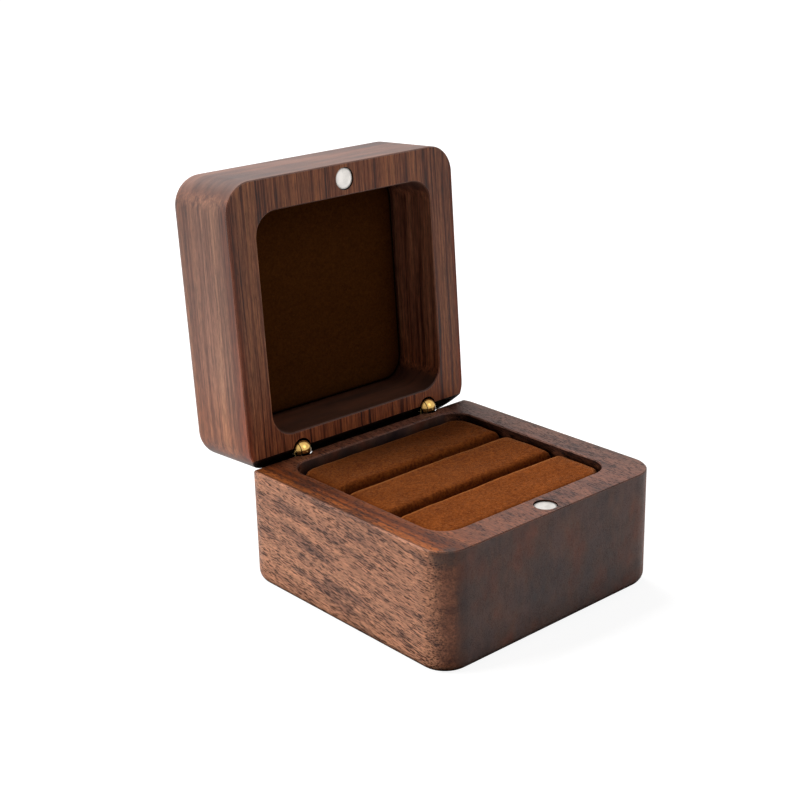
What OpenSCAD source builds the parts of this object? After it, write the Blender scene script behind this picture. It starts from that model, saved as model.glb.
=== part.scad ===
// Small hinged ring box milled from two solid walnut blocks: a base with a
// three-roll cushion, and a lid with a lined recess on two barrel hinges.
// Origin: centre of the base's underside. +X right, +Y to the hinges, +Z up.
// The lid is drawn in the base's frame as if shut, then swung open.

/* [Box] */
// Outer width of base and lid, along X
box_width = 65; // [58:0.5:90]
// Outer depth of base and lid, along Y
box_depth = 65; // [58:0.5:90]
// Height of the base block
base_height = 27.5; // [24:0.5:40]
// Height of the lid block
lid_height = 21.1; // [18:0.1:32]
// Width of the base's rim at its left and right sides
side_rim = 7; // [6.75:0.25:9]
// Width of the base's rim at its front and back
end_rim = 7.5; // [7:0.25:9]
// Width of the lid's rim all round
lid_rim = 7.3; // [7:0.1:9]
// Radius of the four upright outer corners
corner_radius = 6.7; // [5:0.1:9]
// Radius of the base's lower edge
base_edge_radius = 3; // [1:0.25:4]
// Radius of the lid's upper edge
lid_edge_radius = 2.6; // [1:0.1:4]
// Eased edge along the rims and round the mouths of the recesses
eased_edge = 0.25; // [0.15:0.05:0.4]
// Corner radius of the milled recesses
recess_radius = 5.5; // [4:0.25:8]
// Thickness of wood under the base recess
base_floor = 5; // [4:0.25:8]
// Thickness of wood over the lid recess
lid_roof = 5; // [4:0.25:8]
// Gap between the two rims when shut
rim_gap = 0.1; // [0.05:0.05:0.5]

/* [Rear bevels] */
// How far the base's rear bevel reaches in from the back face
base_bevel_run = 4.2; // [3.8:0.1:6]
// How far the base's rear bevel drops at the back face
base_bevel_drop = 3.5; // [3:0.1:5]
// How far the lid's rear bevel reaches in from the back face
lid_bevel_run = 3.6; // [3.5:0.1:4.5]
// How far the lid's rear bevel rises at the back face
lid_bevel_rise = 3.6; // [3.5:0.1:4.5]

/* [Hinges] */
// How far the lid stands open
open_angle = 93.4; // [85:0.1:94]
// Left hinge in from the left side
left_inset = 14.55; // [11:0.05:18]
// Right hinge in from the right side
right_inset = 11.95; // [11:0.05:18]
// Diameter of a hinge barrel
barrel_diameter = 5; // [4.5:0.1:5]
// Depth of the barrel holes below each rim
barrel_depth = 10; // [9:0.5:11]
// Barrel axis in from the back face
barrel_setback = 2.9; // [2.9:0.05:3.2]
// Pivot axis in from the back face
pivot_setback = 2.75; // [2.6:0.05:3]
// Pivot axis above the base's rim
pivot_rise = 0.7; // [0.5:0.05:1]
// Diameter of the ball-shaped knuckle
knuckle_diameter = 4.7; // [4.2:0.1:4.7]
// Thickness of the tongue in the middle of the knuckle
tongue_thickness = 2.4; // [1.6:0.1:2.4]
// Diameter of the hinge pin
pin_diameter = 1; // [0.8:0.05:1.3]
// Height of the base barrel's shoulder below the pivot
shoulder_drop = 2; // [1.6:0.05:2.2]
// Height of the knuckle's full width below the pivot
cheek_drop = 0.6; // [0.5:0.05:0.8]
// How far the neck under the knuckle steps in
neck_step = 0.45; // [0.3:0.05:0.5]
// Chamfer at the knuckle end of a barrel
barrel_chamfer = 0.4; // [0.3:0.1:0.5]
// Running clearance beside and round the tongue
knuckle_gap = 0.15; // [0.1:0.01:0.2]
// Radial clearance of a barrel in its hole
barrel_fit = 0.05; // [0.02:0.01:0.1]
// Radial clearance of the pin in the tongue
pin_fit = 0.05; // [0.02:0.01:0.08]
// Width and depth of the grip grooves round a barrel
groove_width = 0.5; // [0.3:0.1:0.8]
// Depth of the grip grooves
groove_depth = 0.25; // [0.1:0.05:0.4]
// Spacing of the grip grooves
groove_pitch = 1.6; // [1.2:0.1:1.8]

/* [Magnets] */
// Diameter of a closing magnet
magnet_diameter = 4.8; // [4:0.1:5]
// Thickness of a closing magnet
magnet_thickness = 2; // [1.5:0.1:3]
// Depth of the magnet's face below the rim
magnet_inset = 0.3; // [0.1:0.05:0.6]
// Magnet centre in from the front face
magnet_setback = 3.5; // [3.3:0.1:4]
// Radial clearance of a magnet in its hole
magnet_fit = 0.15; // [0.05:0.05:0.25]

/* [Cushion] */
// Thickness of the card under the rolls
board_thickness = 1.5; // [1:0.1:2.5]
// Clearance of card, rolls and lining from the recess walls
side_clearance = 0.3; // [0.2:0.05:0.6]
// Crown of the rolls below the base's rim
crown_below_rim = 0.5; // [0.4:0.1:2]
// Width of each ring slot
slot_width = 1.2; // [0.8:0.1:3]
// Gap between the rear roll and the back of the recess
rear_gap = 1.3; // [0:0.1:3]
// Height over which a roll's long edges round over
shoulder_round = 4; // [3:0.25:6]
// Height over which a roll's ends round over
end_round = 1.5; // [1:0.25:4]
// How far a roll's sides draw in at the bottom
draw_in = 0.6; // [0.2:0.1:1]

/* [Lid lining] */
// Thickness of the card in the lid
lid_board_thickness = 1.2; // [0.8:0.1:2]
// Thickness of the felt on the card
felt_thickness = 0.8; // [0.6:0.1:1.5]
// How far the card stops short of the felt's edge
board_margin = 0.5; // [0:0.1:1]

/* [Hidden] */
$fn = 96;
over = 1;
recess_w = box_width - 2 * side_rim;
recess_d = box_depth - 2 * end_rim;
lid_recess_w = box_width - 2 * lid_rim;
lid_recess_d = box_depth - 2 * lid_rim;
lid_rim_z = base_height + rim_gap;
lid_top_z = lid_rim_z + lid_height;
pivot_y = box_depth / 2 - pivot_setback;
pivot_z = base_height + pivot_rise;
barrel_y = box_depth / 2 - barrel_setback;
magnet_y = -box_depth / 2 + magnet_setback;
left_x = -box_width / 2 + left_inset;
right_x = box_width / 2 - right_inset;
knuckle_r = knuckle_diameter / 2;
face_offset = knuckle_r + knuckle_gap;
slot_half = tongue_thickness / 2 + knuckle_gap;
roll_count = 3;
roll_floor = base_floor + board_thickness;
roll_top = base_height - crown_below_rim;
pad_w = recess_w - 2 * side_clearance;
pad_d = recess_d - 2 * side_clearance;
lining_w = lid_recess_w - 2 * side_clearance;
lining_d = lid_recess_d - 2 * side_clearance;
lining_r = recess_radius - side_clearance;
roll_w = (pad_d - rear_gap - (roll_count - 1) * slot_width) / roll_count;
walnut = [0.36, 0.23, 0.17];
suede = [0.45, 0.25, 0.12];
felt = [0.16, 0.08, 0.04];
card = [0.30, 0.24, 0.19];
brass = [0.83, 0.64, 0.30];
nickel = [0.85, 0.84, 0.81];
// Facets of a roll: along its length, over its top, and up each side
len_steps = 22;
top_steps = 20;
side_steps = 4;

// ---- Shared shapes ----

// A rectangle with rounded corners
module round_rect(w, d, r) {
    square([w - 2 * r, d], center = true);
    square([w, d - 2 * r], center = true);
    for (sx = [-1, 1], sy = [-1, 1])
        translate([sx * (w / 2 - r), sy * (d / 2 - r)]) circle(r);
}

// Upright section of a block, standing on y = 0 with rounded lower corners
module edge_section(w, h, f) {
    e = eased_edge;
    polygon([[-w / 2, f], [w / 2, f], [w / 2, h - e], [w / 2 - e, h],
        [-w / 2 + e, h], [-w / 2, h - e]]);
    translate([-w / 2 + f, 0]) square([w - 2 * f, h - f]);
    for (s = [-1, 1]) translate([s * (w / 2 - f), f]) circle(f);
}

// Section that turns about an upright corner's axis
module corner_section(r, h, f) {
    e = eased_edge;
    polygon([[0, f], [r, f], [r, h - e], [r - e, h], [0, h]]);
    square([r - f, h - f]);
    translate([r - f, f]) circle(f);
}

// A round-cornered recess opening upward at z = 0, with its mouth eased
module recess(w, d, r, depth) {
    e = eased_edge;
    translate([0, 0, -depth]) linear_extrude(depth + over) round_rect(w, d, r);
    along_x(w - 2 * r, [[-d / 2, -e], [d / 2, -e], [d / 2 + e + over, over],
        [-d / 2 - e - over, over]]);
    rotate([0, 0, 90]) along_x(d - 2 * r, [[-w / 2, -e], [w / 2, -e],
        [w / 2 + e + over, over], [-w / 2 - e - over, over]]);
    for (sx = [-1, 1], sy = [-1, 1])
        translate([sx * (w / 2 - r), sy * (d / 2 - r), -e])
            cylinder(r1 = r, r2 = r + e + over, h = e + over);
}

// A block with round upright corners, a rounded lower edge and eased upper edges
module milled_block(w, d, h, r, f) {
    translate([0, d / 2 - r, 0]) rotate([90, 0, 0])
        linear_extrude(d - 2 * r) edge_section(w, h, f);
    rotate([0, 0, 90]) translate([0, w / 2 - r, 0]) rotate([90, 0, 0])
        linear_extrude(w - 2 * r) edge_section(d, h, f);
    for (k = [0:3]) {
        sx = (k == 0 || k == 3) ? 1 : -1;
        sy = (k < 2) ? 1 : -1;
        translate([sx * (w / 2 - r), sy * (d / 2 - r), 0]) rotate([0, 0, 90 * k])
            rotate_extrude(angle = 90) corner_section(r, h, f);
    }
}

// A prism along X from an outline in Y and Z
module along_x(length, points) {
    translate([-length / 2, 0, 0]) rotate([90, 0, 90])
        linear_extrude(length) polygon(points);
}

// Swings what was drawn shut into the open pose
module swung_open() {
    translate([0, pivot_y, pivot_z]) rotate([-open_angle, 0, 0])
        translate([0, -pivot_y, -pivot_z]) children();
}

// ---- Wood ----

module base_box() {
    by = box_depth / 2 - base_bevel_run;
    slope = base_bevel_drop / base_bevel_run;
    color(walnut) difference() {
        milled_block(box_width, box_depth, base_height, corner_radius,
            base_edge_radius);
        translate([0, 0, base_height])
            recess(recess_w, recess_d, recess_radius, base_height - base_floor);
        along_x(box_width + 2 * over, [[by - over, base_height + over * slope],
            [by + base_bevel_run + over, base_height - base_bevel_drop - over * slope],
            [by + base_bevel_run + over, base_height + over]]);
        for (x = [left_x, right_x])
            translate([x, barrel_y, base_height - barrel_depth])
                cylinder(r = barrel_diameter / 2 + barrel_fit, h = barrel_depth + over);
        translate([0, magnet_y, base_height - magnet_inset - magnet_thickness])
            cylinder(r = magnet_diameter / 2 + magnet_fit, h = magnet_thickness + over);
    }
}

module lid_box() {
    by = box_depth / 2 - lid_bevel_run;
    slope = lid_bevel_rise / lid_bevel_run;
    color(walnut) swung_open() difference() {
        translate([0, 0, lid_top_z]) mirror([0, 0, 1])
            milled_block(box_width, box_depth, lid_height, corner_radius,
                lid_edge_radius);
        translate([0, 0, lid_rim_z]) mirror([0, 0, 1])
            recess(lid_recess_w, lid_recess_d, recess_radius, lid_height - lid_roof);
        along_x(box_width + 2 * over, [[by - over, lid_rim_z - over * slope],
            [by + lid_bevel_run + over, lid_rim_z - over],
            [by + lid_bevel_run + over, lid_rim_z + lid_bevel_rise + over * slope]]);
        for (x = [left_x, right_x])
            translate([x, barrel_y, lid_rim_z - over])
                cylinder(r = barrel_diameter / 2 + barrel_fit, h = barrel_depth + over);
        translate([0, magnet_y, lid_rim_z - over])
            cylinder(r = magnet_diameter / 2 + magnet_fit,
                h = magnet_thickness + magnet_inset + over);
    }
}

// ---- Magnets ----

module magnet_disc() {
    color(nickel) cylinder(d = magnet_diameter, h = magnet_thickness);
}

module base_magnet() {
    translate([0, magnet_y, base_height - magnet_inset - magnet_thickness])
        magnet_disc();
}

module lid_magnet() {
    swung_open() translate([0, magnet_y, lid_rim_z + magnet_inset]) magnet_disc();
}

// ---- Barrel hinges ----

// The grooved cylinder that is pressed into the wood, from z = 0 up
module barrel_body(length) {
    first = 1.2;
    difference() {
        union() {
            cylinder(d = barrel_diameter, h = length - barrel_chamfer);
            translate([0, 0, length - barrel_chamfer])
                cylinder(d1 = barrel_diameter, d2 = barrel_diameter - 2 * barrel_chamfer,
                    h = barrel_chamfer);
        }
        for (k = [0:2])
            translate([0, 0, first + k * groove_pitch]) difference() {
                cylinder(d = barrel_diameter + over, h = groove_width);
                translate([0, 0, -over])
                    cylinder(d = barrel_diameter - 2 * groove_depth,
                        h = groove_width + 2 * over);
            }
    }
}

// The base barrel ends in two cheeks on a narrower neck, halves of a ball on the pivot
module base_barrel(x) {
    body_top = pivot_z - shoulder_drop;
    color(brass) difference() {
        union() {
            translate([x, barrel_y, base_height - barrel_depth])
                barrel_body(body_top - base_height + barrel_depth);
            translate([x, pivot_y, pivot_z]) rotate_extrude() {
                intersection() {
                    circle(knuckle_r);
                    square(knuckle_r);
                }
                translate([0, -cheek_drop]) square([knuckle_r, cheek_drop]);
                translate([0, -shoulder_drop])
                    square([knuckle_r - neck_step, shoulder_drop]);
            }
        }
        translate([x, pivot_y, pivot_z]) rotate([0, 90, 0])
            cylinder(r = face_offset, h = 2 * slot_half, center = true);
        translate([x - slot_half, pivot_y - barrel_diameter, body_top])
            cube([2 * slot_half, 2 * barrel_diameter, barrel_diameter]);
        translate([x, pivot_y, pivot_z]) rotate([0, 90, 0])
            cylinder(d = pin_diameter, h = barrel_diameter + over, center = true);
    }
}

// The lid barrel ends in the tongue that turns between the cheeks
module lid_barrel(x) {
    body_z = pivot_z + face_offset;
    neck_front = 0.8 * knuckle_r;
    neck_back = 0.6 * knuckle_r;
    color(brass) swung_open() difference() {
        union() {
            translate([x, barrel_y, lid_rim_z + barrel_depth]) mirror([0, 0, 1])
                barrel_body(lid_rim_z + barrel_depth - body_z);
            translate([x, pivot_y, pivot_z]) intersection() {
                sphere(knuckle_r);
                cube([tongue_thickness, barrel_diameter, barrel_diameter],
                    center = true);
            }
            translate([x - tongue_thickness / 2, pivot_y - neck_front, pivot_z])
                cube([tongue_thickness, neck_front + neck_back, face_offset + 0.5]);
        }
        translate([x, pivot_y, pivot_z]) rotate([0, 90, 0])
            cylinder(r = pin_diameter / 2 + pin_fit, h = barrel_diameter + over,
                center = true);
    }
}

module hinge_pin(x) {
    reach = 0.95 * sqrt(knuckle_r * knuckle_r - pin_diameter * pin_diameter / 4);
    color(brass) translate([x, pivot_y, pivot_z]) rotate([0, 90, 0])
        cylinder(d = pin_diameter, h = 2 * reach, center = true);
}

// ---- Cushion ----

module cushion_board() {
    color(card) translate([0, 0, base_floor]) linear_extrude(board_thickness)
        round_rect(pad_w, pad_d, lining_r);
}

// How far the recess's round corner takes a roll's outer side in at this x
function corner_in(x) =
    let (past = max(0, abs(x) - (pad_w / 2 - lining_r)))
    lining_r - sqrt(max(0, lining_r * lining_r - past * past));

// How far the top falls across a roll, u from -1 to 1, and along it, v likewise
function top_fall(u) = shoulder_round * (1 - sqrt(max(0, 1 - pow(abs(u), 12))));
function end_fall(v) = end_round * (1 - sqrt(max(0, 1 - pow(abs(v), 20))));

// One section of roll number n at v: up the front, over the crown, down the back
function roll_section(n, v) =
    let (x = v * pad_w / 2,
        y_mid = -pad_d / 2 + roll_w / 2 + n * (roll_w + slot_width),
        y0 = y_mid - roll_w / 2 + (n == 0 ? corner_in(x) : 0),
        y1 = y_mid + roll_w / 2 - (n == roll_count - 1 ? corner_in(x) : 0),
        top = roll_top - end_fall(v),
        side_top = top - top_fall(1))
    concat(
        [for (k = [0:side_steps - 1]) let (f = k / side_steps)
            [x, y0 + draw_in * pow(1 - f, 2), roll_floor + f * (side_top - roll_floor)]],
        [for (k = [0:top_steps]) let (u = sin(180 * k / top_steps - 90))
            [x, (y0 + y1) / 2 + u * (y1 - y0) / 2, top - top_fall(u)]],
        [for (k = [side_steps - 1:-1:0]) let (f = k / side_steps)
            [x, y1 - draw_in * pow(1 - f, 2), roll_floor + f * (side_top - roll_floor)]]);

// A padded roll with its crown, rounded ends and sides drawn in below
module roll(n) {
    m = top_steps + 1 + 2 * side_steps;
    points = concat(
        [for (j = [0:len_steps], p = roll_section(n, sin(180 * j / len_steps - 90))) p],
        [for (e = [0, len_steps]) let (s = roll_section(n, e == 0 ? -1 : 1))
            [s[0][0], (s[0][1] + s[m - 1][1]) / 2, (roll_floor + roll_top) / 2]]);
    c0 = (len_steps + 1) * m;
    last = len_steps * m;
    faces = concat(
        [for (j = [0:len_steps - 1], i = [0:m - 1])
            [j * m + i, j * m + (i + 1) % m, (j + 1) * m + (i + 1) % m]],
        [for (j = [0:len_steps - 1], i = [0:m - 1])
            [j * m + i, (j + 1) * m + (i + 1) % m, (j + 1) * m + i]],
        [for (i = [0:m - 1]) [c0, (i + 1) % m, i]],
        [for (i = [0:m - 1]) [c0 + 1, last + i, last + (i + 1) % m]]);
    color(suede) polyhedron(points, faces);
}

// ---- Lid lining ----

module lid_board() {
    z = lid_top_z - lid_roof - lid_board_thickness;
    color(card) swung_open() translate([0, 0, z]) linear_extrude(lid_board_thickness)
        round_rect(lining_w - 2 * board_margin, lining_d - 2 * board_margin,
            lining_r - board_margin);
}

module lid_felt() {
    z = lid_top_z - lid_roof - lid_board_thickness - felt_thickness;
    color(felt) swung_open() translate([0, 0, z]) linear_extrude(felt_thickness)
        round_rect(lining_w, lining_d, lining_r);
}

base_box();
base_magnet();
cushion_board();
roll(0);  // roll_front
roll(1);  // roll_middle
roll(2);  // roll_rear
base_barrel(left_x);  // base_barrel_left
base_barrel(right_x);  // base_barrel_right
hinge_pin(left_x);  // hinge_pin_left
hinge_pin(right_x);  // hinge_pin_right
lid_box();
lid_magnet();
lid_board();
lid_felt();
lid_barrel(left_x);  // lid_barrel_left
lid_barrel(right_x);  // lid_barrel_right
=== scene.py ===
"""A small open walnut display box: growth bands, pores and end grain in the wood,
a suede cushion of three rolls, a felt lid lining, and brass barrel hinges."""

import math

import bpy
from mathutils import Matrix, Vector, noise


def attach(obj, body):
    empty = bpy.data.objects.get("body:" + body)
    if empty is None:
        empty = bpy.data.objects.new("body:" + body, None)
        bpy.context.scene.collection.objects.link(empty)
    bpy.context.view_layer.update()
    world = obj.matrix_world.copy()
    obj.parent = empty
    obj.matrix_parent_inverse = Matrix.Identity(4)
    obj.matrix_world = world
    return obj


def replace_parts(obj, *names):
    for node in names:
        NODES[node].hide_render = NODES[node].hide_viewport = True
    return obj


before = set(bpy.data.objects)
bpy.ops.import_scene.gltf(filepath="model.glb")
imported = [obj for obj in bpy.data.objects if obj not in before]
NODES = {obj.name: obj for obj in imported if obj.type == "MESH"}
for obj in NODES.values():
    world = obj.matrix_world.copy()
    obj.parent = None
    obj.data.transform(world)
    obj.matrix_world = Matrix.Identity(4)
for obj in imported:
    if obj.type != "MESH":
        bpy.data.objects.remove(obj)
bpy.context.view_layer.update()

MM = 0.001
TO_MM = (1000, 1000, 1000)
# Half the box's width and depth, and the hinge's axis, in millimetres
HALF = 32.5
PIVOT = Vector((0, 29.75, 28.2))
# How far the lid stands open
OPEN = math.radians(93.4)


# ---------------------------------------------------------------- shader tools


class Shader:
    """One material, built from nodes."""

    def __init__(self, name):
        self.mat = bpy.data.materials.new(name)
        self.mat.use_nodes = True
        self.tree = self.mat.node_tree
        self.tree.nodes.clear()
        self.out = self.add("ShaderNodeOutputMaterial")
        self.bsdf = self.add("ShaderNodeBsdfPrincipled")
        self.tree.links.new(self.bsdf.outputs[0], self.out.inputs["Surface"])
        coord = self.add("ShaderNodeTexCoord")
        self.point, self.normal = coord.outputs["Object"], coord.outputs["Normal"]

    def add(self, kind, **props):
        n = self.tree.nodes.new(kind)
        for k, v in props.items():
            setattr(n, k, v)
        return n

    def put(self, socket, value):
        """Links a socket to the input, or sets the input to a value."""
        if isinstance(value, bpy.types.NodeSocket):
            self.tree.links.new(value, socket)
        elif value is not None:
            socket.default_value = value

    def set(self, **values):
        """Sockets of the main shader; an underscore stands for a space."""
        for k, v in values.items():
            self.put(self.bsdf.inputs[k.replace("_", " ")], v)

    def math(self, op, a, b=None):
        n = self.add("ShaderNodeMath", operation=op)
        for socket, v in zip(n.inputs, (a, b)):
            self.put(socket, v)
        return n.outputs[0]

    def product(self, first, *others):
        for v in others:
            first = self.math("MULTIPLY", first, v)
        return first

    def sum(self, *terms):
        """terms are (socket, weight), a socket or a number."""
        total = None
        for t in terms:
            v = self.math("MULTIPLY", t[0], t[1]) if isinstance(t, tuple) else t
            total = v if total is None else self.math("ADD", total, v)
        return total

    def span(self, value, a, b, c=0.0, d=1.0, smooth=True):
        """The value brought from the range a to b to the range c to d."""
        n = self.add(
            "ShaderNodeMapRange",
            interpolation_type="SMOOTHSTEP" if smooth else "LINEAR",
        )
        keys = ("Value", "From Min", "From Max", "To Min", "To Max")
        for k, v in zip(keys, (value, a, b, c, d)):
            self.put(n.inputs[k], v)
        return n.outputs[0]

    def place(self, vector, scale=(1, 1, 1), turn=(0, 0, 0), move=(0, 0, 0)):
        n = self.add("ShaderNodeMapping", vector_type="POINT")
        self.put(n.inputs["Vector"], vector)
        n.inputs["Scale"].default_value = scale
        n.inputs["Rotation"].default_value = turn
        n.inputs["Location"].default_value = move
        return n.outputs[0]

    def noise(self, vector, scale=1.0, detail=2.0, rough=0.5):
        n = self.add("ShaderNodeTexNoise", noise_dimensions="3D")
        self.put(n.inputs["Vector"], vector)
        n.inputs["Scale"].default_value = scale
        n.inputs["Detail"].default_value = detail
        n.inputs["Roughness"].default_value = rough
        return n.outputs[0]

    def cells(self, vector):
        """Distance to the nearest of many scattered points."""
        n = self.add("ShaderNodeTexVoronoi", voronoi_dimensions="3D", feature="F1")
        self.put(n.inputs["Vector"], vector)
        n.inputs["Scale"].default_value = 1.0
        return n.outputs["Distance"]

    def meander(self, vector, scale, reach):
        """The vector, pushed about smoothly by up to half of reach each way."""
        n = self.add("ShaderNodeTexNoise", noise_dimensions="3D")
        self.put(n.inputs["Vector"], self.place(vector, scale))
        n.inputs["Scale"].default_value = 1
        n.inputs["Detail"].default_value = 1.5
        off = self.add("ShaderNodeVectorMath", operation="SUBTRACT")
        self.put(off.inputs[0], n.outputs["Color"])
        off.inputs[1].default_value = (0.5, 0.5, 0.5)
        size = self.add("ShaderNodeVectorMath", operation="MULTIPLY")
        self.put(size.inputs[0], off.outputs[0])
        size.inputs[1].default_value = reach
        total = self.add("ShaderNodeVectorMath", operation="ADD")
        self.put(total.inputs[0], vector)
        self.put(total.inputs[1], size.outputs[0])
        return total.outputs[0]

    def axes(self, vector):
        n = self.add("ShaderNodeSeparateXYZ")
        self.put(n.inputs[0], vector)
        return n.outputs

    def dot(self, a, b):
        n = self.add("ShaderNodeVectorMath", operation="DOT_PRODUCT")
        self.put(n.inputs[0], a)
        self.put(n.inputs[1], b)
        return n.outputs["Value"]

    def mix(self, share, a, b, blend="MIX"):
        n = self.add("ShaderNodeMix", data_type="RGBA", blend_type=blend)
        for i, v in ((0, share), (6, a), (7, b)):
            if isinstance(v, tuple) and len(v) == 3:
                v = (*v, 1)
            self.put(n.inputs[i], v)
        return n.outputs[2]

    def times(self, colour, factor):
        return self.mix(1.0, colour, factor, "MULTIPLY")

    def tinted(self, share, colour, factor):
        """The colour, and where share is 1 the colour times factor."""
        return self.mix(share, colour, self.times(colour, factor))

    def ramp(self, value, stops):
        n = self.add("ShaderNodeValToRGB")
        e = n.color_ramp.elements
        while len(e) < len(stops):
            e.new(0.5)
        for one, (at, colour) in zip(e, stops):
            one.position = at
            one.color = (*colour, 1)
        self.put(n.inputs[0], value)
        return n.outputs[0]

    def bump(self, height, distance, strength, normal=None):
        n = self.add("ShaderNodeBump")
        n.inputs["Distance"].default_value = distance
        n.inputs["Strength"].default_value = strength
        self.put(n.inputs["Height"], height)
        self.put(n.inputs["Normal"], normal)
        return n.outputs[0]

    def eased_edge(self, radius):
        """(the normal of a slightly rounded edge, how much it differs from the face's)."""
        n = self.add("ShaderNodeBevel", samples=4)
        n.inputs["Radius"].default_value = radius
        face = self.add("ShaderNodeNewGeometry").outputs["Normal"]
        return n.outputs[0], self.span(self.dot(n.outputs[0], face), 0.999, 0.93)

    def painted_crevice_shade(self, reach, low, shut=0.25, free=0.95):
        """Painted shade: 1 in the open, falling to low in gaps and corners narrower than
        reach.
        """
        n = self.add("ShaderNodeAmbientOcclusion", samples=6)
        n.inputs["Distance"].default_value = reach
        return self.span(n.outputs["AO"], shut, free, low, 1.0)


# ---------------------------------------------------------------- wood

# Heights in metres between which the base's sides pass into its rim
RIM_FADE = (0.0255, 0.0272)
# Reach of the growth bands to each side, in millimetres
BAND_REACH = 33
# Where the outer sides begin, by distance from the middle, and where the shut lid's top
# begins, by height, in millimetres
SIDE_FADE, TOP_FADE = (30.6, 32.0), (46.8, 48.2)
# Heights of the shut lid's rim and top, in millimetres
LID_SPAN = (27.6, 48.7)
# Heights in metres between which the open lid's sides grow darker
LID_SHADE = (0.040, 0.085)
# Depths in metres between which the recess's painted shade begins, short of the rear wall
RECESS_SHADE_FADE = (0.0231, 0.0201)
# The strip of rim behind the recess that gets painted light, in metres: where it starts and
# ends by depth, and where it ends to the sides
STRIP_FRONT, STRIP_BACK, STRIP_SIDE = (0.0225, 0.0245), (0.0292, 0.0284), (0.0270, 0.0215)
END_GRAIN = ((0.046, 0.024, 0.020), (0.088, 0.042, 0.030), (0.150, 0.068, 0.046))


def growth_bands(s, x, y, z, level, side, zones, corner):
    """Broad bands of colour by X, and one colour below the rim."""
    front = s.math("POWER", 0.5, s.math("DIVIDE", s.sum(y, HALF), 1.6))
    bend = s.product(front, corner)
    across = s.math("SUBTRACT", s.sum(x, (z, 0.02)), bend)
    share = s.span(across, -BAND_REACH, BAND_REACH, smooth=False)
    stops = [((at + BAND_REACH) / (2 * BAND_REACH), colour) for at, colour in zones]
    return s.mix(s.span(level, *RIM_FADE), side, s.ramp(share, stops))


def stripe_tint(s, wide, narrow, hair, spread):
    """Dark to light stripes, as a factor on the colour."""
    stripe = s.sum((wide, 0.40), (narrow, 0.70), (hair, 0.40))
    stripe = s.span(stripe, 0.75 - spread, 0.75 + spread, smooth=False)
    return s.ramp(stripe, [
        (0.0, (0.10, 0.06, 0.05)), (0.20, (0.42, 0.30, 0.26)), (0.40, (0.86, 0.80, 0.76)),
        (0.60, (1.08, 1.06, 1.02)), (0.80, (1.36, 1.36, 1.22)), (1.0, (1.62, 1.76, 1.60)),
    ])


def end_grain(s, flat, colours, lean):
    """The colour where the fibres are cut across: leaning bands, fine rays, two hues."""
    sx, sz, slope, tinge = lean

    def banded(scale, tilt, move, detail, rough):
        turn = (0, math.radians(slope + tilt), 0)
        return s.noise(s.place(flat, scale, turn=turn, move=move), 1, detail, rough)

    mottle = banded((sx, 0.05, sz), 0, (2, 0, 6), 3, 0.6)
    hue = banded((1.6 * sx, 0.05, 1.6 * sz), 5, (9, 3, 1), 2, 0.5)
    rays = banded((9 * sx, 0.6, 3 * sz), -4, (0, 0, 0), 3, 0.6)
    tone = s.sum((mottle, 1.9), (rays, 0.45), -0.675)
    ends = s.ramp(tone, list(zip((0.12, 0.5, 0.88), colours)))
    warmer = s.ramp(hue, [
        (0.38, (0.84, 0.90, 1.05)), (0.50, (1, 1, 1)), (0.66, (1.30, 0.95, 0.82)),
    ])
    return s.tinted(tinge, ends, warmer)


def pore_share(s, p, size):
    """Short dark dashes along the fibres, large and small, where size is not too low."""
    near = s.cells(s.place(s.meander(p, (0.5, 0.2, 0.5), (0.5, 1.5, 0.5)), (2.8, 0.39, 2.8)))
    small = s.cells(s.place(p, (5.0, 0.70, 5.0), move=(5, 2, 8)))
    return s.math(
        "MAXIMUM",
        s.span(s.math("SUBTRACT", near, size), 0.10, 0.0),
        s.product(s.span(s.math("SUBTRACT", small, size), 0.10, -0.02), 0.8),
    )


def recess_shade_and_light(s, shade, half_width, half_depth, mouth):
    """Painted shade on the recess's front and side walls, and painted light on the strip of
    rim behind it.
    """
    ease = 0.0001
    x, y, z = s.axes(s.point)
    off = s.math("ABSOLUTE", x)
    # Painted shade on the front and side walls of the recess
    walls = s.product(
        s.span(off, half_width + ease, half_width),
        s.span(s.math("ABSOLUTE", y), half_depth + ease, half_depth),
        s.span(y, *RECESS_SHADE_FADE),
        s.span(z, mouth, mouth - ease),
    )
    shade = s.tinted(walls, shade, (0.34, 0.26, 0.22))
    # Painted light on the strip of rim behind the recess
    strip = s.product(
        s.span(off, *STRIP_SIDE), s.span(y, *STRIP_FRONT), s.span(y, *STRIP_BACK)
    )
    return s.tinted(strip, shade, (2.0, 2.2, 2.3))


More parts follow.
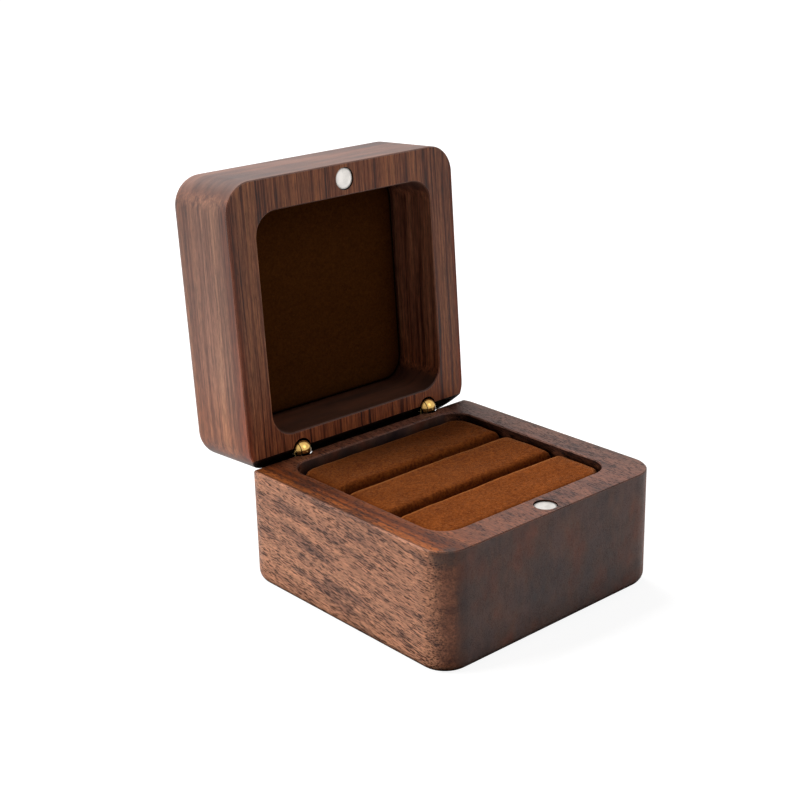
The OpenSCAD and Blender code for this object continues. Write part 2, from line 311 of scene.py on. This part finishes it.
def walnut(
    name, turn, move, side, zones, corner, streaks, spread, dashes, cut, cut_at,
    lean, clouds, foot=None, knot=None, flank=None, hollow=None,
):
    """Walnut with its fibres along Y of the turned coordinates, in millimetres.

    side: colour below the rim.
    zones: colours of the growth bands by X.
    corner: how far the bands turn in at the front.
    streaks, spread: strength of the stripes, and how gently they pass from dark to light.
    dashes: share of pores.
    cut, cut_at: colours of the end grain, and how squarely the fibres are cut where it
        starts and where it is full.
    lean: the end grain's scale along X and Z, its slope, and how much its hue differs.
    clouds: strength of the figure.
    foot: tones over the lowest part of the open lid, along and across the fibres, the one
    across them a painted shade on the end grain there, and the heights in metres where
    it starts and where it is full.
    knot: move and scale that bring a small dark knot to one unit round the origin.
    flank: tones over the lid's sides, from its rim to its top; the dark band just above the
    rim is painted shade on its rounded edge.
    hollow: half width, half depth and mouth height of a recess with painted shade on its
    walls and painted light on the strip of rim behind it, in metres.
    """
    s = Shader(name)
    flat = s.place(s.point, TO_MM, turn, move)
    p = s.meander(flat, (0.07, 0.018, 0.07), (0.9, 0.0, 1.3))
    x, y, z = s.axes(p)
    level = s.axes(s.point)[2]
    shade = growth_bands(s, x, y, z, level, side, zones, corner)

    # Stripes along the fibres, calmer on the outer sides
    wide = s.noise(s.place(p, (0.45, 0.010, 0.28), move=(3, 5, 9)), 1, 2, 0.55)
    narrow = s.noise(s.place(p, (1.45, 0.014, 0.80), move=(1, 8, 4)), 1, 2, 0.6)
    hair = s.noise(s.place(p, (3.2, 0.05, 2.4)), 1, 2, 0.6)
    fine = s.noise(s.place(p, (2.6, 0.34, 2.6), move=(4, 4, 1)), 1, 3, 0.65)
    outer = s.span(s.math("ABSOLUTE", x), *SIDE_FADE)
    if flank:
        outer = s.math("MAXIMUM", outer, s.span(z, *TOP_FADE))
    calm = s.span(outer, 0, 1, streaks, 0.62 * streaks, smooth=False)
    shade = s.tinted(calm, shade, stripe_tint(s, wide, narrow, hair, spread))
    if flank:
        depth = s.span(s.sum(z, (wide, 3.0), -1.5), *LID_SPAN, smooth=False)
        sides = s.times(s.ramp(depth, flank), s.span(level, *LID_SHADE, 1.0, 0.74))
        shade = s.tinted(outer, shade, sides)
    grain = s.span(s.sum((fine, 0.8), (hair, 0.2)), 0.32, 0.68, 0.52, 1.48, smooth=False)
    shade = s.times(shade, grain)

    # Soft dark figure that crosses the fibres at a small angle
    slant = (math.radians(-8), 0, 0)
    figure = s.noise(s.place(flat, (0.24, 0.060, 0.34), slant, (7, 1, 2)), 1, 3, 0.6)
    smoke = s.product(s.span(figure, 0.48, 0.66), clouds)
    shade = s.tinted(smoke, shade, (0.43, 0.40, 0.44))

    # End grain, by how squarely the fibres are cut
    square = s.math("ABSOLUTE", s.dot(s.normal, fibre_in_object(turn)))
    across = s.span(square, *cut_at)
    # Painted shade where the surface turns towards the end grain and away from the light
    shade = s.tinted(s.span(square, 0.32, 0.82), shade, (0.50, 0.42, 0.41))
    shade = s.mix(across, shade, end_grain(s, flat, cut, lean))

    # Painted shade on the end grain low on the open lid
    if foot:
        along_low, across_low, top, bottom = foot
        tone = s.mix(across, along_low, across_low)
        shade = s.tinted(s.span(level, top, bottom), shade, tone)
    if knot:
        knot_move, knot_scale = knot
        wavy = s.meander(s.point, (600, 600, 600), (0.002, 0.002, 0.002))
        far = s.add("ShaderNodeVectorMath", operation="LENGTH")
        s.put(far.inputs[0], s.place(wavy, knot_scale, move=knot_move))
        dark = s.span(far.outputs["Value"], 1.0, 0.45, 0.0, 0.8)
        shade = s.mix(dark, shade, (0.045, 0.026, 0.020))

    # Pores, which show less where they are cut across and are fewer on the rim
    rim = s.span(level, *RIM_FADE, 0.0, -0.055)
    crowd = s.sum((figure, 0.40), (wide, 0.1), -0.24)
    pores = pore_share(s, p, s.sum(crowd, dashes, rim))
    deep = s.product(pores, s.span(square, 0.50, 0.88, 0.96, 0.16))
    shade = s.tinted(deep, shade, (0.11, 0.065, 0.055))
    # Painted shade on the recess walls and painted light on the strip of rim behind them
    if hollow:
        shade = recess_shade_and_light(s, shade, *hollow)

    # Pale edges, partly wear and partly a painted highlight, and painted shade that takes
    # light and shine out of the crevices
    edge_normal, edge = s.eased_edge(0.0002)
    worn_and_highlit = s.mix(0.35, s.times(shade, (2.1, 2.2, 2.3)), (0.42, 0.30, 0.25))
    shade = s.mix(s.product(edge, 0.85), shade, worn_and_highlit)
    height = s.sum((deep, -1.0), (hair, 0.3), (fine, 0.35))
    s.set(
        Base_Color=s.times(shade, s.painted_crevice_shade(0.0036, 0.06, 0.28, 0.90)),
        Roughness=s.sum((pores, 0.2), (hair, 0.12), (fine, 0.12), 0.36),
        Specular_IOR_Level=s.product(s.painted_crevice_shade(0.010, 0.0, 0.35, 1.0), 0.32),
        Normal=s.bump(height, 0.00008, 0.6, edge_normal),
    )
    return s.mat


def turned_about_pivot(extra):
    """Mapping turn and move that lay the open lid shut, with the fibres' slant added."""
    r = Matrix.Rotation(OPEN, 3, "X")
    shut = Matrix.Rotation(extra, 3, "X") @ (PIVOT - r @ PIVOT)
    return (OPEN + extra, 0, 0), tuple(shut)


def fibre_in_object(turn):
    """The fibre direction in the object's own axes."""
    return tuple(Matrix.Rotation(turn[0], 3, "X").inverted() @ Vector((0, 1, 0)))


WOOD_BASE = walnut(
    "walnut_base",
    turn=(math.radians(-7), 0, 0),
    move=(0, 0, 0),
    side=(0.425, 0.192, 0.108),
    zones=[
        (-33.0, (0.390, 0.175, 0.098)), (-31.7, (0.380, 0.160, 0.085)),
        (-31.35, (0.070, 0.022, 0.010)), (-31.0, (0.350, 0.100, 0.022)),
        (-29.7, (0.320, 0.084, 0.017)), (-29.2, (0.070, 0.018, 0.006)),
        (-28.5, (0.250, 0.060, 0.013)), (-27.2, (0.085, 0.022, 0.008)),
        (-26.4, (0.170, 0.043, 0.012)), (-25.4, (0.200, 0.062, 0.026)),
        (-20.0, (0.190, 0.066, 0.034)), (0.0, (0.175, 0.063, 0.036)),
        (24.0, (0.160, 0.062, 0.040)), (33.0, (0.185, 0.082, 0.054)),
    ],
    corner=4.2,
    streaks=0.5,
    spread=0.25,
    dashes=0.295,
    cut=END_GRAIN,
    cut_at=(0.87, 0.985),
    lean=(0.11, 0.08, 18, 1.0),
    clouds=0.8,
    knot=((30.3 / 3.8, 30.9 / 3.8, -26.0 / 2.6), (1 / 0.0038, 1 / 0.0038, 1 / 0.0026)),
    # Painted shade in the recess and painted light on the strip of rim behind it
    hollow=(0.0256, 0.0251, 0.0272),
)
lid_turn, lid_move = turned_about_pivot(math.radians(-1.0))
WOOD_LID = walnut(
    "walnut_lid",
    turn=lid_turn,
    move=lid_move,
    side=(0.200, 0.113, 0.090),
    zones=[
        (-33.0, (0.200, 0.113, 0.090)), (-30.8, (0.285, 0.115, 0.066)),
        (-10.0, (0.300, 0.110, 0.056)), (12.0, (0.330, 0.120, 0.062)),
        (33.0, (0.280, 0.115, 0.070)),
    ],
    corner=0.0,
    streaks=1.0,
    spread=0.16,
    dashes=0.05,
    cut=tuple(tuple(c * f for c, f in zip(e, (1.62, 1.7, 1.75))) for e in END_GRAIN),
    cut_at=(0.28, 0.78),
    lean=(0.035, 0.22, 3, 0.2),
    clouds=0.15,
    foot=((1.05, 0.86, 0.70), (0.66, 0.54, 0.44), 0.050, 0.032),
    # The dark band just above the rim is painted shade on the rounded edge
    flank=[
        (0.0, (0.92, 0.58, 0.43)), (0.10, (0.56, 0.42, 0.37)), (0.20, (0.96, 0.98, 0.95)),
        (0.50, (0.99, 1.02, 1.04)), (0.72, (0.80, 0.77, 0.77)), (1.0, (0.62, 0.57, 0.56)),
    ],
)


# ---------------------------------------------------------------- other materials


def suede(name, low, high, sheen, tint, reach):
    """Brushed suede: a mottled nap that lies two ways and a fine fuzz, with a painted sheen
    on the crests and painted shade in the gaps.
    """
    s = Shader(name)
    p = s.place(s.point, TO_MM)
    nap = s.noise(s.place(p, (0.13, 0.22, 0.24)), 1, 3, 0.6)
    brushed = s.noise(s.place(p, (0.55, 1.0, 0.9), turn=(0.3, 0.2, 0.5)), 1, 3, 0.65)
    fuzz = s.noise(p, 4.2, 3, 0.75)
    hairs = s.noise(s.place(p, (2.2, 6.0, 5.0), turn=(0, 0, 0.35)), 1, 2, 0.6)
    grit = s.noise(p, 1.7, 2, 0.7)
    tone = s.sum((nap, 0.45), (brushed, 0.45), (fuzz, 1.1), (hairs, 0.5), (grit, 1.5), -1.50)
    shade = s.ramp(tone, [(0.1, low), (0.9, high)])
    # Painted sheen: paler at the back of each crest, where the surface turns up and to the
    # rear
    _, back, up = s.axes(s.normal)
    painted_crest_sheen = s.product(s.span(back, 0.02, 0.25), s.span(up, 0.1, 0.5), 0.8)
    shade = s.tinted(painted_crest_sheen, shade, (1.9, 2.3, 2.8))
    # Painted shade in the slots between the rolls and against the walls
    s.set(
        Base_Color=s.times(shade, s.painted_crevice_shade(reach, 0.30)),
        Roughness=s.sum((fuzz, 0.12), 0.88),
        Specular_IOR_Level=0.03,
        Sheen_Weight=sheen,
        Sheen_Roughness=0.18,
        Sheen_Tint=(*tint, 1),
        Normal=s.bump(s.sum((fuzz, 0.8), (hairs, 0.5), (brushed, 0.6)), 0.00016, 0.8),
    )
    return s.mat


def card(name):
    """Grey-brown backing card with small fibres."""
    s = Shader(name)
    p = s.place(s.point, TO_MM)
    pulp = s.noise(p, 1.1, 4, 0.65)
    fibres = s.noise(s.place(p, (1.2, 4.0, 2.0), turn=(0.4, 0.2, 0.9)), 1, 2, 0.5)
    flecks = s.product(s.span(fibres, 0.62, 0.72), 0.5)
    shade = s.ramp(pulp, [(0.3, (0.115, 0.088, 0.064)), (0.7, (0.19, 0.152, 0.115))])
    s.set(
        Base_Color=s.mix(flecks, shade, (0.06, 0.045, 0.035)),
        Roughness=s.sum((pulp, 0.15), 0.8),
        Specular_IOR_Level=0.2,
        Normal=s.bump(pulp, 0.00005, 0.6),
    )
    return s.mat


def metal(name, colour, tarnish, rough, turning, specks, rim, rim_width, air):
    """Turned and polished metal with faint tool lines and darker handling marks.

    turning: scale of the tool lines. specks: scale of the small marks. rim, rim_width:
    colour and width of the painted shade on the edges. air: reach of the painted shade
    in gaps, in metres.
    """
    s = Shader(name)
    p = s.place(s.point, TO_MM)
    lines = s.noise(s.place(p, turning), 1, 2, 0.6)
    cloud = s.noise(p, 0.6, 3, 0.6)
    spots = s.span(s.noise(p, specks, 2, 0.5), 0.62, 0.74)
    edge_normal, edge = s.eased_edge(rim_width)
    shade = s.mix(s.span(cloud, 0.35, 0.7, 0.0, 0.7), colour, tarnish)
    shade = s.mix(s.product(spots, 0.35), shade, tarnish)
    # Painted shade along the edges
    shade = s.mix(s.product(edge, 0.8), shade, rim)
    # Painted shade in the gaps round the parts
    s.set(
        Base_Color=s.times(shade, s.painted_crevice_shade(air, 0.03, 0.30, 1.0)),
        Metallic=1.0,
        Roughness=s.sum((cloud, 0.14), (lines, 0.08), (spots, 0.12), rough - 0.1),
        Normal=s.bump(s.sum((lines, 1.0), (spots, -0.4)), 0.000006, 0.6, edge_normal),
    )
    return s.mat


SUEDE = suede(
    "suede_cushion",
    low=(0.088, 0.0185, 0.0040),
    high=(0.310, 0.083, 0.0165),
    sheen=0.30,
    tint=(1.0, 0.62, 0.34),
    reach=0.003,
)
# Its colours are darker than the felt itself, partly a painted shade of the deep lid recess
FELT = suede(
    "felt_lining",
    low=(0.068, 0.020, 0.0040),
    high=(0.125, 0.041, 0.0076),
    sheen=0.0,
    tint=(1, 1, 1),
    reach=0.005,
)
CARD = card("backing_card")
BRASS = metal(
    "brass_turned",
    colour=(0.86, 0.54, 0.17),
    tarnish=(0.36, 0.17, 0.04),
    rough=0.15,
    turning=(3, 3, 26),
    specks=3.1,
    rim=(0.80, 0.50, 0.16),
    rim_width=0.00012,
    air=0.0055,
)
NICKEL = metal(
    "nickel_plate",
    colour=(0.77, 0.73, 0.69),
    tarnish=(0.56, 0.53, 0.50),
    rough=0.30,
    turning=(22, 2, 2),
    specks=2.3,
    rim=(0.07, 0.055, 0.05),
    rim_width=0.0006,
    air=0.0015,
)


def dress(material, *names):
    for n in names:
        for s in NODES[n].material_slots:
            s.link = "OBJECT"
            s.material = material


dress(WOOD_BASE, "base_box")
dress(WOOD_LID, "lid_box")
dress(CARD, "cushion_board", "lid_board")
dress(NICKEL, "base_magnet", "lid_magnet")
dress(
    BRASS,
    "base_barrel_left", "base_barrel_right", "lid_barrel_left",
    "lid_barrel_right", "hinge_pin_left", "hinge_pin_right",
)
dress(SUEDE, "roll_front", "roll_middle", "roll_rear")
dress(FELT, "lid_felt")


# ---------------------------------------------------------------- cushion

# The cushion, in millimetres
PAD_W, PAD_D, PAD_R = 50.4, 49.4, 5.2
REAR_GAP, SLOT = 1.3, 1.2
ROLL_W = (PAD_D - REAR_GAP - 2 * SLOT) / 3
FLOOR_Z, CROWN_Z = 6.5, 27.0
# How far inside and below its form a cover is drawn before it is blown up
DRAWN_IN, DRAWN_LOW = 0.22, 0.10
# The cover is simulated this many times larger, up to this frame
GROW, LAST_FRAME = 20.0, 20
# It is held fully up to the first height, and not at all from the second
HELD_UP_TO, FREE_FROM = 11.0, 15.0
# How far it may swell freely, and how much further at most
SWELL, SWELL_MORE = 0.17, 0.06
# Its uneven filling shows from this height, and fully this much higher
UNEVEN_FROM, UNEVEN_OVER = 13, 10


def between(value, low, high):
    return max(low, min(high, value))


def mesh_object(name, points, faces, material):
    mesh = bpy.data.meshes.new(name)
    mesh.from_pydata([tuple(p) for p in points], [], faces)
    mesh.validate()
    mesh.update()
    for f in mesh.polygons:
        f.use_smooth = True
    if material:
        mesh.materials.append(material)
    o = bpy.data.objects.new(name, mesh)
    bpy.context.scene.collection.objects.link(o)
    return o


def corner_in(x):
    """How far the pad's round corner lies in from its front or back, at x."""
    past = max(0.0, abs(x) - (PAD_W / 2 - PAD_R))
    return PAD_R - math.sqrt(max(0.0, PAD_R**2 - past**2))


def fall(share, drop, power):
    """How far the top drops at a share of the way from its middle to its edge."""
    return drop * (1 - math.sqrt(max(0.0, 1 - abs(share) ** power)))


def top_fall(u):
    return fall(u, 3.4, 15)


def end_fall(v):
    return fall(v, 1.5, 20)


def eased(k, steps, power):
    """Even steps from -1 to 1 that crowd a little at both ends."""
    t = 2 * k / steps - 1
    return math.copysign(1 - (1 - abs(t)) ** power, t)


def roll_section(x, v, n, over, side):
    """Points over roll n at x, from its front foot to its rear foot."""
    middle = -PAD_D / 2 + ROLL_W / 2 + n * (ROLL_W + SLOT)
    y0 = middle - ROLL_W / 2 + DRAWN_IN + (corner_in(x) if n == 0 else 0)
    y1 = middle + ROLL_W / 2 - DRAWN_IN - (corner_in(x) if n == 2 else 0)
    top = CROWN_Z - DRAWN_LOW - end_fall(v)
    knee = top - top_fall(1)
    half = (y1 - y0) / 2

    def wall(k):
        """How far in a side leans, and its height, at step k."""
        f = k / side
        return 0.5 * (1 - f) ** 2, FLOOR_Z + f * (knee - FLOOR_Z)

    walls = [wall(k) for k in range(side)]
    crown = [eased(k, over, 1.7) for k in range(over + 1)]
    return [
        *((x, y0 + lean, z) for lean, z in walls),
        *((x, (y0 + y1) / 2 + u * half, top - top_fall(u)) for u in crown),
        *((x, y1 - lean, z) for lean, z in reversed(walls)),
    ]


def roll_grid(n):
    """Points and faces of roll n's cover as it is drawn, in millimetres."""
    along, over, side, cap = 72, 30, 16, 7
    loops = []
    for j in range(along + 1):
        v = eased(j, along, 1.5)
        loops.append(roll_section(v * (PAD_W / 2 - DRAWN_IN), v, n, over, side))
    m = len(loops[0])

    def end_cap(loop):
        """Loops that shrink towards the middle of an end, and that middle."""
        cx, cy, cz = loop[0][0], sum(q[1] for q in loop) / m, (FLOOR_Z + CROWN_Z) / 2
        shrunk = []
        for k in range(1, cap):
            f = 1 - k / cap
            shrunk.append([(cx, cy + (y - cy) * f, cz + (z - cz) * f) for _, y, z in loop])
        return shrunk, (cx, cy, cz)

    left_cap, left_end = end_cap(loops[0])
    right_cap, right_end = end_cap(loops[-1])
    loops = [*reversed(left_cap), *loops, *right_cap]
    points = [q for loop in loops for q in loop]
    a, b = len(points), len(points) + 1
    points += [left_end, right_end]
    faces = []
    for j in range(len(loops) - 1):
        for i in range(m):
            q, r = j * m + i, j * m + (i + 1) % m
            faces.append((q, r, r + m, q + m))
    top = (len(loops) - 1) * m
    for i in range(m):
        faces.append((a, (i + 1) % m, i))
        faces.append((b, top + i, top + (i + 1) % m))
    return points, faces


def blown_up(points, faces):
    """The points after a short inflation of the cover, its lower half held; in mm."""
    o = mesh_object("blow", [Vector(q) * MM * GROW for q in points], faces, None)
    hold = o.vertex_groups.new(name="hold")
    for i, q in enumerate(points):
        weight = between((FREE_FROM - q[2]) / (FREE_FROM - HELD_UP_TO), 0.0, 1.0)
        if weight:
            hold.add([i], weight, "REPLACE")
    cloth = o.modifiers.new("cloth", "CLOTH")
    c = cloth.settings
    c.quality = 6
    c.mass = 0.3
    c.tension_stiffness = c.compression_stiffness = 14
    c.shear_stiffness = 8
    c.bending_stiffness = 0.6
    c.vertex_group_mass = "hold"
    c.use_pressure = True
    c.uniform_pressure_force = 4
    c.effector_weights.gravity = 0
    cloth.collision_settings.use_collision = False
    cloth.point_cache.frame_start, cloth.point_cache.frame_end = 1, LAST_FRAME
    scene = bpy.context.scene
    for f in range(1, LAST_FRAME + 1):
        scene.frame_set(f)
    done = o.evaluated_get(bpy.context.evaluated_depsgraph_get()).to_mesh()
    out = [v.co / (MM * GROW) for v in done.vertices]
    scene.frame_set(1)
    bpy.data.objects.remove(o)
    return out


def roll_piece(name, n):
    """One roll of the cushion: inflated, then held near its cut shape, with a soft nap."""
    points, faces = roll_grid(n)
    blown = blown_up(points, faces)
    moved = []
    for q, r in zip(points, blown):
        q, push = Vector(q), Vector(r) - Vector(q)
        if push.length > SWELL:
            more = SWELL_MORE * math.tanh((push.length - SWELL) / 0.6)
            push *= (SWELL + more) / push.length
        q += push
        at = Vector((q.x * 0.11, q.y * 0.16 + 9 * n, q.z * 0.12))
        rise = between((q.z - UNEVEN_FROM) / UNEVEN_OVER, 0.0, 1.0)
        q.z += rise * (noise.noise(at) * 0.16 + noise.noise(at * 3.3) * 0.06 - 0.05)
        q.y += rise * noise.noise(at * 1.9 + Vector((5, 5, 5))) * 0.12
        moved.append(q * MM)
    o = mesh_object(name, moved, faces, SUEDE)
    smooth = o.modifiers.new("smooth", "SUBSURF")
    smooth.levels = smooth.render_levels = 1
    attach(o, "base")
    return o


for i, n in enumerate(("roll_front", "roll_middle", "roll_rear")):
    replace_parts(roll_piece(n + "_suede", i), n)


# ---------------------------------------------------------------- lid lining

# The lining, in millimetres: its width and corner radius, the radius of its turned
# edges, and with the lid shut the heights of its face and of its back
LINING, LINING_R, LINING_EDGE = 49.8, 5.2, 0.55
FACE_Z, BACK_Z = 41.7, 42.5


def round_square(inset):
    """A round-cornered outline, inset from the lining's own."""
    steps = 12
    radius, half = LINING_R - inset, LINING / 2 - inset
    pts = []
    for q, (sx, sy) in enumerate(((1, 1), (-1, 1), (-1, -1), (1, -1))):
        for k in range(steps + 1):
            a = math.pi / 2 * (q + k / steps)
            x = sx * (half - radius) + radius * math.cos(a)
            pts.append((x, sy * (half - radius) + radius * math.sin(a)))
    return pts


def lining_piece(name):
    """The lid's lining: a stretched panel whose edges roll over its card."""
    turns, borders, steps = 6, (1.2, 2.2, 3.6, 4.6), 26
    loops = [[(x, y, BACK_Z) for x, y in round_square(0.05)]]
    for k in range(turns + 1):
        a = math.pi / 2 * k / turns
        z = FACE_Z + LINING_EDGE * (1 - math.sin(a))
        inset = LINING_EDGE * (1 - math.cos(a))
        loops.append([(x, y, z) for x, y in round_square(0.02 + inset)])
    for inset in borders:
        loops.append([(x, y, FACE_Z) for x, y in round_square(inset)])
    # The flat middle shrinks towards the centre
    core = round_square(borders[-1])
    for k in range(1, steps):
        f = 1 - k / steps
        loops.append([(x * f, y * f, FACE_Z) for x, y in core])
    m = len(core)
    points = [p for loop in loops for p in loop]
    front, back = len(points), len(points) + 1
    points += [(0, 0, FACE_Z), (0, 0, BACK_Z)]
    last = (len(loops) - 1) * m
    faces = []
    for j in range(len(loops) - 1):
        for i in range(m):
            a, b = j * m + i, j * m + (i + 1) % m
            faces.append((a, a + m, b + m, b))
    faces += [(last + i, front, last + (i + 1) % m) for i in range(m)]
    faces += [(back, i, (i + 1) % m) for i in range(m)]

    swing = Matrix.Rotation(-OPEN, 3, "X")
    moved = []
    for x, y, z in points:
        if z < FACE_Z + 0.2:
            z += 0.10 + 0.10 * noise.noise(Vector((x * 0.1, y * 0.1, 3)))
        moved.append((swing @ (Vector((x, y, z)) - PIVOT) + PIVOT) * MM)
    o = mesh_object(name, moved, faces, FELT)
    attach(o, "lid")
    return o


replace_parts(lining_piece("lid_lining"), "lid_felt")


# ---------------------------------------------------------------- camera

PICTURE_PX, FOCAL_PX, SENSOR_MM = 800, 1506.571, 36

camera = bpy.data.objects.new("camera", bpy.data.cameras.new("camera"))
bpy.context.scene.collection.objects.link(camera)
right = Vector((0.74682709, -0.66464554, -0.02226199))
down = Vector((-0.24331952, -0.24194434, -0.93928619))
ahead = Vector((0.61890622, 0.70690116, -0.34241182))
camera.matrix_world = Matrix.Translation((-0.20962974, -0.22365065, 0.15490672)) @ Matrix(
    (right, -down, -ahead)
).transposed().to_4x4()
camera.data.sensor_width = SENSOR_MM
camera.data.lens = FOCAL_PX * SENSOR_MM / PICTURE_PX
camera.data.clip_start = 0.01
camera.data.clip_end = 20
bpy.context.scene.camera = camera


# ---------------------------------------------------------------- floor and light

WHITE = (1, 1, 1, 1)


def node(tree, kind, values=(), **props):
    """A new node with these input values and properties."""
    n = tree.nodes.new(kind)
    for k, v in props.items():
        setattr(n, k, v)
    for k, v in values:
        n.inputs[k].default_value = v
    return n


def seen_white(tree, seen, unseen):
    """What camera, glossy and transmitted rays see, and another for the rest."""
    path = node(tree, "ShaderNodeLightPath")
    either = node(tree, "ShaderNodeMath", operation="MAXIMUM")
    any_of = node(tree, "ShaderNodeMath", operation="MAXIMUM")
    choice = node(tree, "ShaderNodeMixShader")
    for source, target in (
        (path.outputs["Is Camera Ray"], either.inputs[0]),
        (path.outputs["Is Glossy Ray"], either.inputs[1]),
        (either.outputs[0], any_of.inputs[0]),
        (path.outputs["Is Transmission Ray"], any_of.inputs[1]),
        (any_of.outputs[0], choice.inputs[0]),
        (unseen.outputs[0], choice.inputs[1]),
        (seen.outputs[0], choice.inputs[2]),
    ):
        tree.links.new(source, target)
    return choice


def studio_world():
    """Plain white to look at, and a soft light on everything."""
    world = bpy.data.worlds.new("studio")
    bpy.context.scene.world = world
    world.use_nodes = True
    tree = world.node_tree
    tree.nodes.clear()
    white = node(tree, "ShaderNodeBackground", ((0, WHITE), (1, 1.0)))
    soft = node(tree, "ShaderNodeBackground", ((0, WHITE), (1, 0.12)))
    out = node(tree, "ShaderNodeOutputWorld")
    tree.links.new(seen_white(tree, white, soft).outputs[0], out.inputs["Surface"])


def paper():
    """White paper that takes the box's shadow, and brightens away from it to plain white."""
    material = bpy.data.materials.new("floor_paper")
    material.use_nodes = True
    tree = material.node_tree
    tree.nodes.clear()
    lit = node(tree, "ShaderNodeBsdfDiffuse", ((0, (0.30, 0.30, 0.30, 1)),))
    glow = node(tree, "ShaderNodeEmission", ((0, WHITE),))
    where = node(tree, "ShaderNodeTexCoord")
    reach = node(tree, "ShaderNodeVectorMath", operation="LENGTH")
    grow = node(tree, "ShaderNodeMapRange", (
        ("From Min", 0.10), ("From Max", 0.45), ("To Min", 0.90), ("To Max", 1.0),
    ))
    both = node(tree, "ShaderNodeAddShader")
    plain = node(tree, "ShaderNodeBsdfDiffuse", ((0, (0.38, 0.38, 0.38, 1)),))
    out = node(tree, "ShaderNodeOutputMaterial")
    for source, target in (
        (where.outputs["Object"], reach.inputs[0]),
        (reach.outputs["Value"], grow.inputs["Value"]),
        (grow.outputs[0], glow.inputs[1]),
        (lit.outputs[0], both.inputs[0]),
        (glow.outputs[0], both.inputs[1]),
        (seen_white(tree, both, plain).outputs[0], out.inputs["Surface"]),
    ):
        tree.links.new(source, target)
    return material


studio_world()
# The floor's half width, and its height a hair below the box, in metres
SPREAD, BELOW = 2, -2e-5
floor_mesh = bpy.data.meshes.new("floor")
floor_mesh.from_pydata(
    [
        (-SPREAD, -SPREAD, BELOW), (SPREAD, -SPREAD, BELOW),
        (SPREAD, SPREAD, BELOW), (-SPREAD, SPREAD, BELOW),
    ],
    [],
    [(0, 1, 2, 3)],
)
floor = bpy.data.objects.new("floor", floor_mesh)
bpy.context.scene.collection.objects.link(floor)
floor.data.materials.append(paper())


def lamp(name, at, aim, width, watts, colour=(1, 1, 1)):
    data = bpy.data.lights.new(name, "AREA")
    data.shape = "RECTANGLE"
    data.size = data.size_y = width
    data.energy = watts
    data.color = colour
    o = bpy.data.objects.new(name, data)
    o.location = at
    o.rotation_euler = (Vector(aim) - Vector(at)).to_track_quat("-Z", "Y").to_euler()
    bpy.context.scene.collection.objects.link(o)


lamp("key", (-1.05, 0.55, 0.58), (0, 0, 0.04), 0.6, 14.2, (1.0, 0.985, 0.965))
lamp("top", (0.02, 0.50, 1.0), (0, 0, 0.03), 0.5, 9.0)
lamp("fill", (0.25, -0.9, 0.75), (0, 0, 0.04), 0.6, 1.35)

bpy.context.scene.view_settings.view_transform = "Standard"
